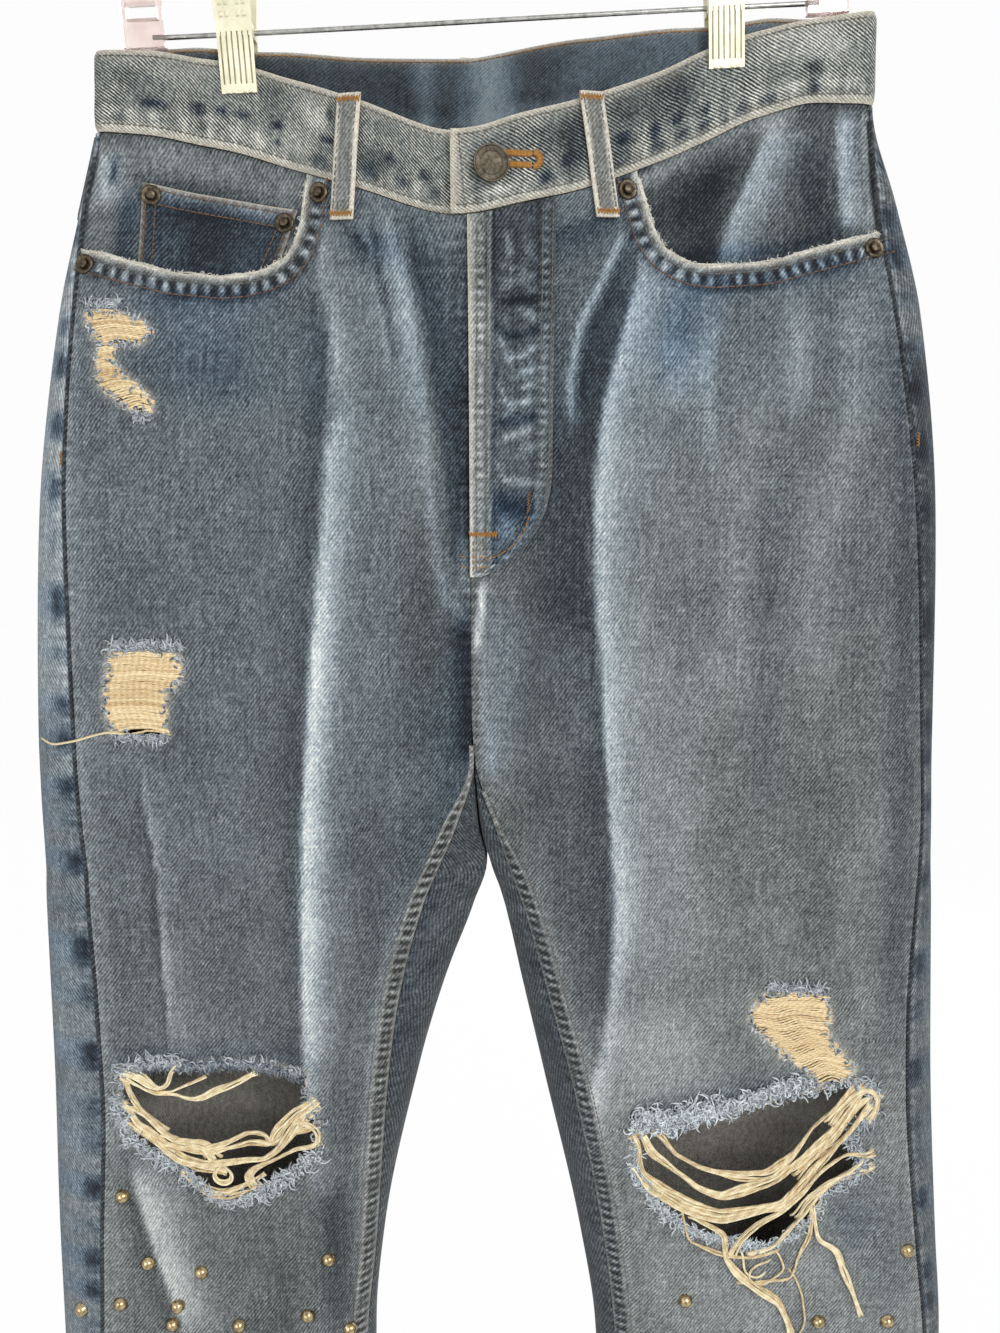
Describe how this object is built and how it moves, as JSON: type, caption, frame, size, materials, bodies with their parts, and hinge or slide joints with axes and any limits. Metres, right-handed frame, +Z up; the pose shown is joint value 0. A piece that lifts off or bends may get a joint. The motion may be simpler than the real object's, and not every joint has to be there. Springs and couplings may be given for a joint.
{
  "type": "ripped jeans on a clip hanger",
  "caption": "Straight-leg blue denim jeans with frayed knee rips and small domed studs, hanging by the waistband from a clip hanger.",
  "frame": {"origin": "the inner top of the hanger's hook, where it rests on a rod", "axes": "+Z up, -Y towards the wearer's front, +X towards the wearer's left"},
  "size_m": [0.5288, 0.0883, 1.2439],
  "materials": {
    "denim": "stonewashed blue twill",
    "denim_pale": "worn pale twill",
    "denim_dark": "less washed twill",
    "weft_yarn": "cream cotton yarn",
    "antique_metal": "antique, satin",
    "stud_gold": "polished",
    "clip_steel": "satin nickel plate",
    "pink_plastic": "translucent"
  },
  "bodies": {
    "root": {"front_right": "denim", "front_left": "denim", "back_right": "denim", "back_left": "denim", "yoke_right": "denim", "yoke_left": "denim", "hem_right": "denim_pale", "hem_left": "denim_pale", "waistband": "denim_pale", "facing_right": "denim", "facing_left": "denim", "coin_pocket": "denim_dark", "fly_band": "denim", "back_pocket_right": "denim_dark", "back_pocket_left": "denim_dark", "loop_front_right": "denim_pale", "loop_front_left": "denim_pale", "loop_side_right": "denim_pale", "loop_side_left": "denim_pale", "loop_back": "denim_pale", "waist_button": "antique_metal", "rivet_01": "antique_metal", "rivet_02": "antique_metal", "rivet_03": "antique_metal", "rivet_04": "antique_metal", "rivet_05": "antique_metal", "rivet_06": "antique_metal", "stud_01": "stud_gold", "stud_02": "stud_gold", "stud_03": "stud_gold", "stud_04": "stud_gold", "stud_05": "stud_gold", "stud_06": "stud_gold", "stud_07": "stud_gold", "stud_08": "stud_gold", "stud_09": "stud_gold", "stud_10": "stud_gold", "stud_11": "stud_gold", "stud_12": "stud_gold", "stud_13": "stud_gold", "stud_14": "stud_gold", "stud_15": "stud_gold", "threads_right_1": "weft_yarn", "threads_right_2": "weft_yarn", "threads_left_1": "weft_yarn", "threads_left_2": "weft_yarn", "hook": "clip_steel", "hanger_bar": "clip_steel", "hanger_neck": "pink_plastic", "hanger_arm_right": "pink_plastic", "hanger_arm_left": "pink_plastic", "clip_right_front": "clip_steel", "clip_right_rear": "clip_steel", "clip_left_front": "clip_steel", "clip_left_rear": "clip_steel"}
  },
  "joints": []
}
